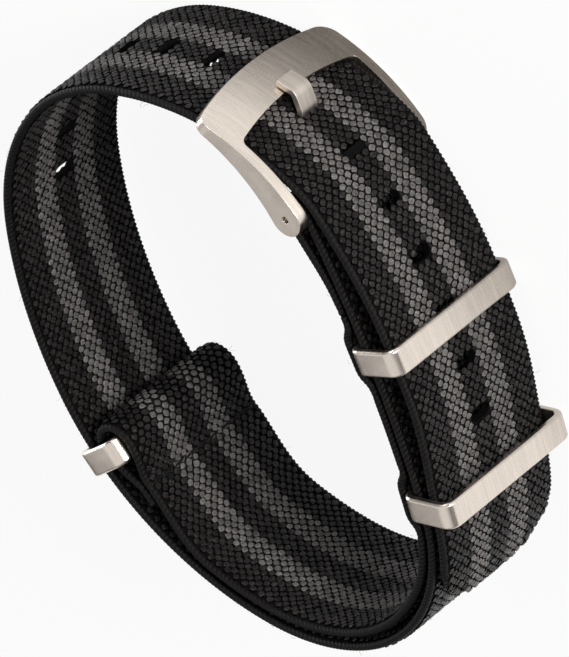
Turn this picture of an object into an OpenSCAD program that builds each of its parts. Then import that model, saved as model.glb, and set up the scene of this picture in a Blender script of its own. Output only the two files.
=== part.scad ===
/* [Webbing] */
// Width of the webbing
web_w = 19.6; // [17:0.2:22]
// Thickness of the webbing
web_t = 1.4; // [1:0.1:1.6]
// Width of the thin selvedge along each edge
selvedge_w = 0.5; // [0.2:0.1:0.8]
// How much thinner each selvedge is on either face
selvedge_step = 0.3; // [0.1:0.05:0.4]
// Gap between two layers of webbing that lie together
layer_gap = 0.05; // [0.03:0.01:0.1]
// Length of the end folded back round the spring bar
fold_back = 13.6; // [13.4:0.1:13.6]
// Where the keeper flap starts, along the inner layer
flap_start = 13.7; // [13.7:0.1:13.9]
// Height of the tail above the inner layer at keeper 1
tail_lift = 3.9; // [2.6:0.1:3.9]
// Where the tail ends, along the inner layer
tail_end = 55; // [52:1:60]
// Length of the tapered tip of the tail
tip_len = 9; // [5:1:12]

/* [Holes] */
// Distance from one adjustment hole to the next
hole_pitch = 7; // [6:0.5:8]
// Number of adjustment holes
hole_count = 15; // [6:1:16]
// Length of a hole across the strap
hole_across = 3.2; // [3:0.1:4]
// Length of a hole along the strap
hole_along = 1.8; // [1.4:0.1:2.2]
// How far the tongue stretches its hole along the strap
hole_stretch = 1.2; // [1.2:0.1:1.8]

/* [Keepers] */
// Width of a keeper along the strap
ring_w = 3.4; // [2.6:0.1:4]
// Thickness of a keeper's metal
ring_t = 0.9; // [0.8:0.05:1.2]
// Height of a keeper's opening
ring_open = 5.7; // [5.6:0.1:6]
// Gap between a keeper's side and the webbing's edge
ring_side_gap = 0.2; // [0.15:0.05:0.4]
// Outer radius of a keeper's corners
ring_corner_r = 1.7; // [1.6:0.1:2.4]
// Bevel on a keeper's outer edges
ring_bevel = 0.25; // [0.1:0.05:0.35]
// Gap between a keeper's inner bar and the webbing on each side
pocket_gap = 0.15; // [0.12:0.01:0.25]
// Place of keeper 1 along the inner layer
keeper_1_s = 19.3; // [18.5:0.1:19.6]
// Place of keeper 2 along the inner layer
keeper_2_s = 39.1; // [38.6:0.1:39.6]
// Place of keeper 3 along the loop
keeper_3_s = 115.3; // [114:0.1:117]
// Gap between keeper 3's outer bar and the band
keeper_3_gap = 0.3; // [0.25:0.05:0.6]

/* [Buckle] */
// Gap between the buckle's arm and the webbing's edge
arm_gap = 0.15; // [0.1:0.05:0.4]
// Thickness of a side arm
arm_t = 1.25; // [1:0.05:1.8]
// Distance from the spring bar to the outer front edge
buckle_len = 16.7; // [15.5:0.1:17.5]
// Width of the front bar at mid strap
front_bar_w = 5.2; // [4:0.1:6]
// Radius of the lug around the spring bar
lug_r = 2.15; // [1.8:0.05:2.4]
// Radius of the arch across the buckle
arch_r = 57.2; // [45:0.2:90]
// Radius of the buckle's outer corners
corner_r = 2.2; // [1.2:0.1:3]
// Radius of the window's corners
window_r = 1; // [0.6:0.1:1.6]
// Gap between the tail and the hollow under the front bar
hollow_gap = 0.2; // [0.15:0.05:0.4]

/* [Tongue] */
// Width of the tongue
tongue_w = 2.7; // [2:0.1:2.9]
// Thickness of the tongue
tongue_t = 0.85; // [0.7:0.05:1]
// Outer radius of the tongue's eye
eye_r = 1.65; // [1.4:0.05:1.8]

/* [Spring bar] */
// Outer radius of the spring bar's tube
tube_r = 0.75; // [0.6:0.05:0.85]
// Wall of the tube
tube_wall = 0.13; // [0.1:0.01:0.18]
// Running gap round the tube and the end pins
run_gap = 0.05; // [0.02:0.01:0.08]
// Radius of an end pin's tip
tip_r = 0.4; // [0.3:0.02:0.45]
// How far a pin's tip stays below the arm's outer face
tip_recess = 0.3; // [0.1:0.1:0.6]
// Length of a pin's head inside the tube
head_len = 2; // [1.5:0.1:3]
// Length of the crimped lip at each end of the tube
lip_len = 0.3; // [0.2:0.05:0.5]
// Radius of the coil spring's wire
wire_r = 0.08; // [0.06:0.01:0.1]
// Number of turns of the coil spring
spring_turns = 12; // [8:1:16]

/* [Stitching] */
// Radius of the sewing thread
thread_r = 0.16; // [0.1:0.02:0.2]
// Distance from one needle hole to the next
stitch_pitch = 2.1; // [1.6:0.1:3]
// Distance from the webbing's edge to the first needle hole
stitch_margin = 1.4; // [1:0.1:2.5]

/* [Hidden] */
$fn = 48;

// The spring bar's axis, from the centre of the whole strap
bar_x = 9.4;
bar_y = -31.14;

// The closed loop from the spring bar round the wrist, as arcs of [length, turn in degrees]
loop_run = [
    [20, -6], [20, -8], [16, -39], [14, -34], [16, -35], [18, -27],
    [20, -32], [24, -25], [20, -38], [16, -35], [14, -21]
];
// Direction in which the inner layer leaves the spring bar
loop_heading = 159;
// Places along the inner layer of the stitch rows beside keepers 1 and 2
row_1_s = [12.8, 14.5];
row_2_s = 24.4;
row_3_s = 34.6;
row_4_s = 44;
// Place along the loop of the stitch row at the flap's end
row_5_s = 108.9;
// Where the folded end of the flap stops, along the loop
flap_fold_end = 106.6;
// Length of the band between two points of a drawn route
route_step = 2;

// Heights across the strap, with the lower arm's outer face at zero
buckle_w = web_w + 2 * (arm_gap + arm_t);
mid_z = buckle_w / 2;
web_z = mid_z - web_w / 2;
layer = web_t + layer_gap;
wrap_r = tube_r + run_gap + web_t / 2;
window_half = web_w / 2 + arm_gap;

// Keeper sizes that follow from the webbing
ring_outer_w = web_w + 2 * (ring_side_gap + ring_t);
ring_outer_h = ring_open + 2 * ring_t;

// A point and heading after an arc of the given length and turn
function arc_end(p, len, turn) =
    turn == 0
    ? [p[0] + len * cos(p[2]), p[1] + len * sin(p[2]), p[2]]
    : let (k = turn * PI / 180 / len)
      [p[0] + (sin(p[2] + turn) - sin(p[2])) / k,
       p[1] - (cos(p[2] + turn) - cos(p[2])) / k,
       p[2] + turn];

// A point and heading at a distance along a chain of arcs
function run_at(run, s, p, i = 0) =
    i >= len(run) || s < 0 ? arc_end(p, s, 0)
    : s <= run[i][0] ? arc_end(p, s, run[i][1] * s / run[i][0])
    : run_at(run, s - run[i][0], arc_end(p, run[i][0], run[i][1]), i + 1);

function run_length(run, i = 0) = i >= len(run) ? 0 : run[i][0] + run_length(run, i + 1);

// The point beside another, at a distance to the outer side of its heading
function beside(q, n) = [q[0] - n * sin(q[2]), q[1] + n * cos(q[2]), q[2]];

loop_from = beside([bar_x, bar_y, loop_heading], wrap_r);
loop_len = run_length(loop_run);
function loop_at(s, n = 0) = beside(run_at(loop_run, s, loop_from), n);

// A smooth step from a to b while u goes from 0 to 1
function ease(a, b, u) = a + (b - a) * (1 - cos(180 * min(max(u, 0), 1))) / 2;

// A smooth curve from p to q, which leaves and arrives along their headings
function bridge(p, q, pull_p, pull_q, u) =
    let (a = 2 * pow(u, 3) - 3 * pow(u, 2) + 1, b = pow(u, 3) - 2 * pow(u, 2) + u,
         c = 3 * pow(u, 2) - 2 * pow(u, 3), d = pow(u, 3) - pow(u, 2))
    [a * p[0] + b * pull_p * cos(p[2]) + c * q[0] + d * pull_q * cos(q[2]),
     a * p[1] + b * pull_p * sin(p[2]) + c * q[1] + d * pull_q * sin(q[2])];

function gap_between(p, q) = norm([q[0] - p[0], q[1] - p[1]]);

// Depth of the folded-back layer inside the inner layer
fold_close = 12;
function fold_depth(s) = ease(2 * wrap_r, layer, s / fold_close);

// Height of the tail outside the inner layer
tail_rise_len = 17.1;
tail_fall_from = 24;
tail_fall_len = 20;
tail_over_bar = layer + 0.25;
tail_rest = layer + 0.3;
function tail_height(s) =
    s < tail_fall_from
    ? tail_over_bar + (tail_lift - tail_over_bar) * sin(90 * min(s / tail_rise_len, 1))
    : ease(tail_lift, tail_rest, (s - tail_fall_from) / tail_fall_len);

// Depth of the keeper flap inside the inner layer
pocket_half = 4.1;
pocket_depth = ring_t + 2 * pocket_gap - layer_gap;
watch_gap = 0.45;
flap_lift = 3.2;
function pocket(s, at) =
    ease(pocket_depth, 0, (abs(s - at) - ring_w / 2 - 0.4) / (pocket_half - ring_w / 2 - 0.4));
function flap_depth(s) =
    layer + pocket(s, keeper_1_s) + pocket(s, keeper_2_s)
    + ease(0, watch_gap, (s - row_4_s - 4) / 12) + ease(0, flap_lift, (s - 96) / 14);

function steps(from, to, step) =
    let (n = max(1, ceil(abs(to - from) / step)))
    [for (i = [0:n]) from + (to - from) * i / n];

// Centre line of the main band, from the end of the fold-back to the tip of the tail
fold_line = [for (s = steps(fold_back, 0.4, 1.4)) loop_at(s, -fold_depth(s))];
wrap_line = [for (a = [180:-15:0])
    [bar_x - wrap_r * sin(loop_heading + a), bar_y + wrap_r * cos(loop_heading + a)]];
loop_line = [for (s = steps(0.5, loop_len, route_step)) loop_at(s)];
tail_slope = atan((tail_lift - tail_over_bar) * PI / 2 / tail_rise_len);
over_from = loop_at(loop_len);
over_to = loop_at(0, tail_over_bar) + [0, 0, tail_slope - 360];
over_line = [for (i = [1:13]) bridge(over_from, over_to, 9, 14.5, i / 14)];
tail_line = [for (s = steps(0, tail_end, 1.5)) loop_at(s, tail_height(s))];
tip_points = floor(tip_len / 1.5);
band_line = concat(fold_line, wrap_line, loop_line, over_line, tail_line);

// Centre line of the keeper flap, ending in the fold round keeper 3's inner bar
keeper_3_bar = web_t / 2 + keeper_3_gap - ring_open - ring_t / 2;
flap_bend_r = 2.69;
flap_bend = loop_at(keeper_3_s, keeper_3_bar + 0.71)
    + [0.44 * cos(loop_at(keeper_3_s)[2]), 0.44 * sin(loop_at(keeper_3_s)[2]), 0];
flap_split = row_5_s + 0.7;
flap_line_free = [for (s = concat(steps(flap_start, row_4_s + 4, 0.7), steps(row_4_s + 5.5, flap_split, 1.5)))
    loop_at(s, -flap_depth(s))];
flap_up_from = loop_at(flap_split, -flap_depth(flap_split)) - [0, 0, 15];
flap_up_to = beside(flap_bend, -flap_bend_r);
flap_up = [for (u = [0.125:0.125:0.9]) bridge(flap_up_from, flap_up_to, 4.6, 6.3, u)];
flap_turn = [for (a = [0:15:180])
    [flap_bend[0] + flap_bend_r * sin(flap_bend[2] + a), flap_bend[1] - flap_bend_r * cos(flap_bend[2] + a)]];
flap_back_from = beside(flap_bend, flap_bend_r) + [0, 0, 180];
flap_back_to = loop_at(flap_split, layer + 0.05 - flap_depth(flap_split)) + [0, 0, 206];
flap_back = [for (u = [0.125:0.125:0.9]) bridge(flap_back_from, flap_back_to, 2, 3.2, u)];
flap_end_line = [for (s = steps(flap_split, flap_fold_end, 1.2)) loop_at(s, layer + 0.05 - flap_depth(s))];
flap_line = concat(flap_line_free, flap_up, flap_turn, flap_back, flap_end_line);

// The outline of a ribbon of thickness t along a line of points
function dir_at(line, i) =
    let (a = line[max(i - 1, 0)], b = line[min(i + 1, len(line) - 1)], d = gap_between(a, b))
    [(b[0] - a[0]) / d, (b[1] - a[1]) / d];
function side(line, n) =
    [for (i = [0:len(line) - 1]) let (d = dir_at(line, i)) [line[i][0] - n * d[1], line[i][1] + n * d[0]]];
function reversed(list) = [for (i = [len(list) - 1:-1:0]) list[i]];

module ribbon(line, t, from, to) {
    left = side(line, t / 2);
    right = side(line, -t / 2);
    polygon(concat([for (i = [from:to]) left[i]], [for (i = [to:-1:from]) right[i]]));
}

// Webbing along part of a line of points, thinner at both selvedges
module webbing(line, from, to) {
    translate([0, 0, web_z + selvedge_w])
        linear_extrude(web_w - 2 * selvedge_w)
            ribbon(line, web_t, from, to);
    translate([0, 0, web_z])
        linear_extrude(web_w)
            ribbon(line, web_t - 2 * selvedge_step, from, to);
}

// Places things in the frame of a point on a route: x along the strap, y outward
module at(q) {
    translate([q[0], q[1], mid_z])
        rotate([0, 0, q[2]])
            children();
}

// Distances along the tail path of points and of holes
tail_path = concat([for (s = steps(140, loop_len, 1)) loop_at(s)],
    [for (i = [1:59]) bridge(over_from, over_to, 9, 14.5, i / 60)],
    [for (s = steps(0, tail_end, 1)) loop_at(s, tail_height(s))]);
function path_sum(line, i = 1, total = 0, out = [0]) =
    i >= len(line) ? out
    : let (d = total + gap_between(line[i - 1], line[i])) path_sum(line, i + 1, d, concat(out, [d]));
tail_sums = path_sum(tail_path);
function path_at(line, sums, d, i = 1) =
    i >= len(line) - 1 || d <= sums[i]
    ? let (u = (d - sums[i - 1]) / (sums[i] - sums[i - 1]), a = line[i - 1], b = line[i])
      [a[0] + (b[0] - a[0]) * u, a[1] + (b[1] - a[1]) * u, atan2(b[1] - a[1], b[0] - a[0])]
    : path_at(line, sums, d, i + 1);

// Where the tongue passes through the tail, forward of the spring bar
tongue_hole_x = bar_x + 8.1;
function nearest(line, sums, x, i = 1) =
    i >= len(line) - 1 || (line[i][0] <= x && line[i][1] < bar_y + 4) ? sums[i]
    : nearest(line, sums, x, i + 1);
tongue_hole_d = nearest(tail_path, tail_sums, tongue_hole_x);
// Holes between the tongue's and the tip of the tail
holes_ahead = 6;

module hole_cut(along) {
    r = min(along, hole_across) / 2;
    depth = web_t + 0.6;
    for (z = [-1, 1])
        translate([0, 0, z * (hole_across / 2 - r)])
            rotate([90, 0, 0])
                cylinder(h = depth, r = r, center = true);
    cube([2 * r, depth, hole_across - 2 * r], center = true);
}

module tongue_hole_cut(along) {
    depth = web_t + 0.6;
    cube([along, depth, hole_across], center = true);
}

module main_band() {
    color("#2c2b2d")
    difference() {
        union() {
            webbing(band_line, 0, len(band_line) - 1 - tip_points);
            intersection() {
                webbing(band_line, len(band_line) - 1 - tip_points, len(band_line) - 1);
                tip_outline();
            }
        }
        for (i = [holes_ahead - hole_count + 1:holes_ahead])
            if (i != 0)
                at(path_at(tail_path, tail_sums, tongue_hole_d + i * hole_pitch))
                    hole_cut(hole_along);
        at(path_at(tail_path, tail_sums, tongue_hole_d))
            tongue_hole_cut(hole_along + hole_stretch);
        fold_slot();
    }
}

// The rounded taper of the tail's tip, seen flat
module tip_outline() {
    half = web_w / 2;
    middle = tail_end - tip_len / 2;
    at(loop_at(middle, tail_height(middle)))
        rotate([90, 0, 0])
            translate([-tip_len / 2 - 0.6, 0, -5])
                linear_extrude(10)
                    polygon(concat([[-2, -half - 1], [-2, half + 1], [0.5, half + 1]],
                        [for (a = [90:-10:-90]) [0.5 + tip_len * pow(cos(a), 0.9), half * sin(a)]],
                        [[0.5, -half - 1]]));
}

// The slot in the fold that leaves room for the tongue's eye
module fold_slot() {
    slot_w = tongue_w + 0.6;
    reach = wrap_r + web_t / 2 + 0.1;
    translate([bar_x, bar_y, mid_z - slot_w / 2])
        rotate([0, 0, loop_heading])
            linear_extrude(slot_w)
                polygon(concat([[2.5, -reach], [2.5, reach]],
                    [for (a = [90:15:270]) [reach * cos(a), reach * sin(a)]]));
}

module keeper_flap() {
    color("#2c2b2d")
        webbing(flap_line, 0, len(flap_line) - 1);
}

// A keeper's metal in section, from its inner face outward
module ring_section() {
    b = ring_bevel;
    c = ring_bevel / 2;
    half = ring_w / 2;
    polygon([
        [0, -half + c], [c, -half], [ring_t - b, -half], [ring_t, -half + b],
        [ring_t, half - b], [ring_t - b, half], [c, half], [0, half - c]
    ]);
}

// One straight side of a keeper, with its inner face at the origin
module ring_side(length) {
    translate([0, -length / 2, 0])
        rotate([-90, 0, 0])
            mirror([0, 1, 0])
                linear_extrude(length)
                    ring_section();
}

module ring_corner() {
    inner_r = ring_corner_r - ring_t;
    rotate_extrude(angle = 90)
        translate([inner_r, 0])
            ring_section();
}

// A keeper lying flat, its opening along z, with y across the strap
module ring_flat() {
    straight_h = ring_outer_h - 2 * ring_corner_r;
    straight_w = ring_outer_w - 2 * ring_corner_r;
    for (a = [0, 180])
        rotate([0, 0, a]) {
            translate([ring_outer_h / 2 - ring_t, 0, 0])
                ring_side(straight_w);
            translate([straight_h / 2, straight_w / 2, 0])
                ring_corner();
            translate([0, ring_outer_w / 2 - ring_t, 0])
                rotate([0, 0, 90])
                    ring_side(straight_h);
            translate([-straight_h / 2, straight_w / 2, 0])
                rotate([0, 0, 90])
                    ring_corner();
        }
}

// A keeper at a place along the loop, with its inner bar's middle at height n
module ring_at(s, n) {
    color("#b9b1a4")
        at(loop_at(s, n + ring_open / 2 + ring_t / 2))
            rotate([0, 90, 0])
                rotate([0, 0, 90])
                    ring_flat();
}

sewn_bar = -web_t / 2 - pocket_gap - ring_t / 2;

module keeper_1() {
    ring_at(keeper_1_s, sewn_bar);
}

module keeper_2() {
    ring_at(keeper_2_s, sewn_bar);
}

module keeper_3() {
    ring_at(keeper_3_s, keeper_3_bar);
}

// Centres of the arcs that bound the buckle's side outline, and of its lug, from the spring bar
top_c = [1.9, -21.3];
under_c = [6.4, -22.3];
lug_c = [0, arch_r - sqrt(pow(arch_r, 2) - pow(window_half + arm_t / 2, 2)) + 0.1];

// The buckle seen from the side, with x forward and y outward
module buckle_profile() {
    to_top = lug_c - top_c;
    to_under = lug_c - under_c;
    meet_top = lug_c + to_top * lug_r / norm(to_top);
    meet_under = lug_c - to_under * lug_r / norm(to_under);
    difference() {
        intersection() {
            translate(top_c)
                circle(r = norm(to_top) + lug_r, $fn = 200);
            polygon([
                lug_c, meet_top, meet_top + to_top / 5, [buckle_len + 1, 8],
                [buckle_len + 1, -6], meet_under - to_under / 5, meet_under
            ]);
        }
        translate(under_c)
            circle(r = norm(to_under) - lug_r, $fn = 200);
    }
    translate(lug_c)
        circle(r = lug_r);
}

// A strip with a bowed front and rounded front corners, seen from outside
module bowed_plan(front, bow_r, half, r) {
    c = front - bow_r;
    corner_x = c + sqrt(pow(bow_r - r, 2) - pow(half - r, 2));
    split = (half - r) * bow_r / (bow_r - r);
    intersection() {
        translate([c, 0])
            circle(r = bow_r, $fn = 200);
        translate([-6, -split])
            square([front + 7, 2 * split]);
    }
    translate([-6, -half])
        square([corner_x + 6, 2 * half]);
    for (side = [-1, 1])
        translate([corner_x, side * (half - r)])
            circle(r = r);
}

// The bowed plan as a column through the buckle
module plan_column(front, bow_r, half, r) {
    rotate([90, 0, 0])
        translate([0, 0, -8])
            linear_extrude(20)
                bowed_plan(front, bow_r, half, r);
}

// The hollow under the front bar, with the tail's outer face and a gap as its roof
hollow_half = web_w / 2 + arm_gap / 2;
under_bar = [for (q = concat([for (s = steps(loop_len - 7, loop_len, 1)) loop_at(s)], over_line))
    if (q[0] > bar_x + buckle_len - front_bar_w - 3) q];
module hollow_outline() {
    polygon(concat(side(under_bar, web_t / 2 + hollow_gap), reversed(side(under_bar, -4))));
}

module buckle_frame() {
    color("#b9b1a4")
    translate([bar_x, bar_y, mid_z])
    difference() {
        intersection() {
            translate([0, arch_r, 0])
                rotate([-90, 0, 0])
                    rotate([0, 90, 0])
                        rotate([0, 0, -14])
                            rotate_extrude(angle = 28, $fn = 720)
                                mirror([1, -1])
                                    translate([0, arch_r])
                                        buckle_profile();
            plan_column(buckle_len, 38, buckle_w / 2, corner_r);
        }
        plan_column(buckle_len - front_bar_w, 34, window_half, window_r);
        translate([-bar_x, -bar_y, -hollow_half])
            linear_extrude(2 * hollow_half)
                hollow_outline();
        cylinder(h = buckle_w + 2, r = tip_r + run_gap, center = true);
    }
}

// Centre line of the tongue, from its eye forward, under the tail and out through its hole
tongue_from = [bar_x + 0.7, bar_y + 1.28, -2];
tongue_run = [[2.8, -2], [3.4, 6], [1.5, -76], [1.1, 0], [0.9, 44], [1.7, 0], [0.8, 59], [2.1, 0]];
tongue_line = [for (s = steps(0, run_length(tongue_run), 0.3)) run_at(tongue_run, s, tongue_from)];

module buckle_tongue() {
    color("#c4bcb0")
    difference() {
        union() {
            translate([0, 0, mid_z - tongue_w / 2])
                linear_extrude(tongue_w)
                    ribbon(tongue_line, tongue_t, 0, len(tongue_line) - 1);
            translate([bar_x, bar_y, mid_z])
                cylinder(h = tongue_w, r = eye_r, center = true);
        }
        translate([bar_x, bar_y, mid_z])
            cylinder(h = tongue_w + 1, r = tube_r + run_gap, center = true);
    }
}

// Half length of the tube, and the pins that reach into the arms from it
tube_half = window_half - 0.1;
bore_r = tube_r - tube_wall;

module spring_bar_tube() {
    color("#a8a298")
    translate([bar_x, bar_y, mid_z])
        rotate_extrude()
            polygon([
                [bore_r, 0], [bore_r, tube_half - lip_len], [tip_r + run_gap, tube_half - lip_len],
                [tip_r + run_gap, tube_half], [tube_r - 0.05, tube_half], [tube_r, tube_half - 0.05],
                [tube_r, -tube_half + 0.05], [tube_r - 0.05, -tube_half], [tip_r + run_gap, -tube_half],
                [tip_r + run_gap, -tube_half + lip_len], [bore_r, -tube_half + lip_len]
            ]);
}

// An end pin pointing up, with its head against the tube's lip
module end_pin() {
    tip_top = buckle_w / 2 - tip_recess;
    head_top = tube_half - lip_len - run_gap;
    rotate_extrude()
        polygon([
            [0, head_top - head_len], [bore_r - run_gap, head_top - head_len],
            [bore_r - run_gap, head_top], [tip_r, head_top], [tip_r, tip_top - 0.1],
            [tip_r - 0.1, tip_top], [0, tip_top]
        ]);
}

module end_pin_upper() {
    color("#8d877e")
        translate([bar_x, bar_y, mid_z])
            end_pin();
}

module end_pin_lower() {
    color("#8d877e")
        translate([bar_x, bar_y, mid_z])
            mirror([0, 0, 1])
                end_pin();
}

// The coil spring between the two heads, as one unbroken helix
spring_half = tube_half - lip_len - run_gap - head_len - wire_r - 0.05;
coil_r = bore_r - 0.1 - wire_r;
coil_rings = spring_turns * 8;
coil_sides = 6;

module spring_bar_spring() {
    points = [for (i = [0:coil_rings], j = [0:coil_sides - 1])
        let (a = i * 45, b = j * 60, r = coil_r + wire_r * cos(b))
        [bar_x + r * cos(a), bar_y + r * sin(a),
         mid_z - spring_half + 2 * spring_half * i / coil_rings + wire_r * sin(b)]];
    sides = [for (i = [0:coil_rings - 1], j = [0:coil_sides - 1])
        let (a = i * coil_sides + j, b = i * coil_sides + (j + 1) % coil_sides)
        for (f = [[a, b, b + coil_sides], [a, b + coil_sides, a + coil_sides]]) f];
    last = coil_rings * coil_sides;
    ends = [for (j = [1:coil_sides - 2]) each [[0, j + 1, j], [last, last + j, last + j + 1]]];
    color("#9a948a")
        polyhedron(points = points, faces = concat(sides, ends));
}

// One line of lockstitch: thread along both faces and down each needle hole
module stitch_line(q, outer, inner) {
    half = web_w / 2 - stitch_margin;
    count = floor(2 * half / stitch_pitch);
    reach = count * stitch_pitch / 2;
    at(q) {
        for (y = [outer, inner])
            translate([0, y, 0])
                cylinder(h = 2 * reach, r = thread_r, center = true, $fn = 16);
        for (i = [0:count])
            translate([0, outer, i * stitch_pitch - reach])
                rotate([90, 0, 0])
                    cylinder(h = outer - inner, r = thread_r, $fn = 16);
    }
}

// A stitch row that joins the inner layer to the layer inside it
module sewn_row(s) {
    stitch_line(loop_at(s), web_t / 2 + thread_r / 2, -layer - web_t / 2 - thread_r / 2);
}

module stitch_row_1() {
    color("#3a393b")
        for (s = row_1_s)
            sewn_row(s);
}

module stitch_row_2() {
    color("#3a393b")
        sewn_row(row_2_s);
}

module stitch_row_3() {
    color("#3a393b")
        sewn_row(row_3_s);
}

module stitch_row_4() {
    color("#3a393b")
        sewn_row(row_4_s);
}

module stitch_row_5() {
    color("#3a393b")
        stitch_line(loop_at(row_5_s), -flap_depth(row_5_s) + layer + web_t / 2 + thread_r / 2,
            -flap_depth(row_5_s) - web_t / 2 - thread_r / 2);
}

main_band();
keeper_flap();
keeper_1();
keeper_2();
keeper_3();
buckle_frame();
buckle_tongue();
spring_bar_tube();
spring_bar_spring();
end_pin_upper();
end_pin_lower();
stitch_row_1();
stitch_row_2();
stitch_row_3();
stitch_row_4();
stitch_row_5();
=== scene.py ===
"""Elastic nylon watch strap, fastened into a loop: woven knobs, selvedges, stitching and brushed steel."""
import math
import bmesh
import bpy
import numpy as np
from mathutils import Matrix, Vector


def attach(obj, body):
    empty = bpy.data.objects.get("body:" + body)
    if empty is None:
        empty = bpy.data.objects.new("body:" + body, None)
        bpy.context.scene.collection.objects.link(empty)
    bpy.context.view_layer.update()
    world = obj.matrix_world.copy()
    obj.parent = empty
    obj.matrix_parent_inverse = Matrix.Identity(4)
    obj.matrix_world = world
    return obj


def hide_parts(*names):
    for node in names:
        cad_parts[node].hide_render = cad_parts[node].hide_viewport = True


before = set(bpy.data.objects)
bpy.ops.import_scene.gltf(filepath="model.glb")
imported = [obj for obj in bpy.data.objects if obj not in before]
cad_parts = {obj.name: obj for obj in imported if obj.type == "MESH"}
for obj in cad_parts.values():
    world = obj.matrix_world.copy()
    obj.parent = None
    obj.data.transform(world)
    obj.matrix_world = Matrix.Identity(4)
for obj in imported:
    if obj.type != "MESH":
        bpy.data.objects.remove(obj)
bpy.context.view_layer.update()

# Sizes in millimetres and turns in degrees, the same as the part's own
MM = 0.001
WEB_W = 19.6
WEB_T = 1.4
HALF_W = WEB_W / 2
LAYER_GAP = 0.05
LAYER = WEB_T + LAYER_GAP
ARM_GAP = 0.15
ARM_T = 1.25
MID_Z = HALF_W + ARM_GAP + ARM_T
BAR = (9.4, -31.14)
WRAP_R = 1.5
LOOP_RUN = [
    (20, -6), (20, -8), (16, -39), (14, -34), (16, -35), (18, -27),
    (20, -32), (24, -25), (20, -38), (16, -35), (14, -21),
]
LOOP_HEADING = 159
LOOP_LEN = sum(length for length, turn in LOOP_RUN)
FOLD_BACK = 13.6
FOLD_CLOSE = 12
TAIL_OVER_BAR = LAYER + 0.25
TAIL_LIFT = 3.9
TAIL_RISE_LEN = 17.1
TAIL_FALL_FROM = 24
TAIL_FALL_LEN = 20
TAIL_REST = LAYER + 0.3
TAIL_END = 55
TIP_LEN = 9
KEEPER_S = (19.3, 39.1, 115.3)
RING_T = 0.9
RING_OPEN = 5.7
RING_CLEAR = 0.3
POCKET_FLAT = 2.1
POCKET_HALF = 4.1
POCKET_DEPTH = 1.15
WATCH_GAP = 0.45
WATCH_FROM = 48
WATCH_EASE = 12
FLAP_START = 13.7
FLAP_FOLD_END = 106.6
FLAP_LIFT = 3.2
FLAP_LIFT_FROM = 96
FLAP_LIFT_EASE = 14
FLAP_BEND_R = 2.69
FLAP_BEND_OUT = 0.71
FLAP_BEND_ON = 0.44
HOLE_PITCH = 7
HOLE_COUNT = 15
HOLES_AHEAD = 6
HOLE_ACROSS = 3.2
HOLE_ALONG = 1.8
TONGUE_HOLE_X = BAR[0] + 8.1
STITCH_ROWS = {1: (12.8, 14.5), 2: (24.4,), 3: (34.6,), 4: (44,), 5: (108.9,)}
STITCHES_S = sum(STITCH_ROWS.values(), ())
STITCH_MARGIN = 1.4
FLAP_SPLIT = STITCHES_S[-1] + 0.7

# The weave in millimetres: knobs, grey stripes, the ground, its finer tip and the routes' step
KNOB_ALONG = 0.68
KNOB_ACROSS = 1.12
STRIPE_IN = 1.68
STRIPE_OUT = 5.04
GROUND_HALF = 0.5
GROUND_SHARE = 0.972
GROUND_STEP = 0.6
TIP_FINE = 1.5
LINE_STEP = 0.4

# The edge cords in millimetres: how far in they lie, half thickness and width, end gap and rings
CORD_IN = 0.46
CORD_OUT = 0.5
CORD_WIDE = 0.47
CORD_END = 0.1
CORD_STEP = 0.13
CORD_SIDES = 12

# The cuts in millimetres: the holes' depth, and the slot where the tongue goes round the bar
HOLE_CUT = 1.0
SLOT_CUT = 2.7
SLOT_BACK = -3.0
SLOT_FRONT = 2.5
SLOT_HALF = 1.65


# The strap's routes

def arc_end(place, length, turn):
    """The point and heading after an arc of that length and turn."""
    x, y, heading = place
    if turn == 0:
        return (x + length * math.cos(heading), y + length * math.sin(heading), heading)
    bend = math.radians(turn) / length
    after = heading + math.radians(turn)
    return (
        x + (math.sin(after) - math.sin(heading)) / bend,
        y - (math.cos(after) - math.cos(heading)) / bend,
        after,
    )


def beside(place, height):
    """The point beside another, on the outer side of its heading."""
    x, y, heading = place
    return (x - height * math.sin(heading), y + height * math.cos(heading), heading)


def turned(place, degrees):
    """The same point with its heading turned."""
    return (place[0], place[1], place[2] + math.radians(degrees))


LOOP_FROM = beside((BAR[0], BAR[1], math.radians(LOOP_HEADING)), WRAP_R)


def loop_at(s, height=0.0):
    """The point and heading at a distance along the closed loop."""
    place = LOOP_FROM
    rest = s
    for length, turn in LOOP_RUN:
        if rest <= length:
            return beside(arc_end(place, rest, turn * rest / length), height)
        place = arc_end(place, length, turn)
        rest -= length
    return beside(arc_end(place, rest, 0), height)


def ease(a, b, u):
    """Goes smoothly from a to b while u goes from 0 to 1."""
    return a + (b - a) * (1 - math.cos(math.pi * min(max(u, 0), 1))) / 2


# The layers' heights over the loop, negative below it

def fold_height(s):
    return -ease(2 * WRAP_R, LAYER, s / FOLD_CLOSE)


def tail_height(s):
    if s < TAIL_FALL_FROM:
        rise = math.sin(math.pi / 2 * min(s / TAIL_RISE_LEN, 1))
        return TAIL_OVER_BAR + (TAIL_LIFT - TAIL_OVER_BAR) * rise
    return ease(TAIL_LIFT, TAIL_REST, (s - TAIL_FALL_FROM) / TAIL_FALL_LEN)


def flap_height(s):
    depth = LAYER
    for keeper in KEEPER_S[:2]:
        depth += ease(POCKET_DEPTH, 0, (abs(s - keeper) - POCKET_FLAT) / (POCKET_HALF - POCKET_FLAT))
    depth += ease(0, WATCH_GAP, (s - WATCH_FROM) / WATCH_EASE)
    return -depth - ease(0, FLAP_LIFT, (s - FLAP_LIFT_FROM) / FLAP_LIFT_EASE)


def flap_back_height(s):
    return LAYER + LAYER_GAP + flap_height(s)


def span(start, end, step):
    """Even places from start to end, no further apart than the step."""
    count = max(1, math.ceil(abs(end - start) / step))
    return [start + (end - start) * i / count for i in range(count + 1)]


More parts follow.
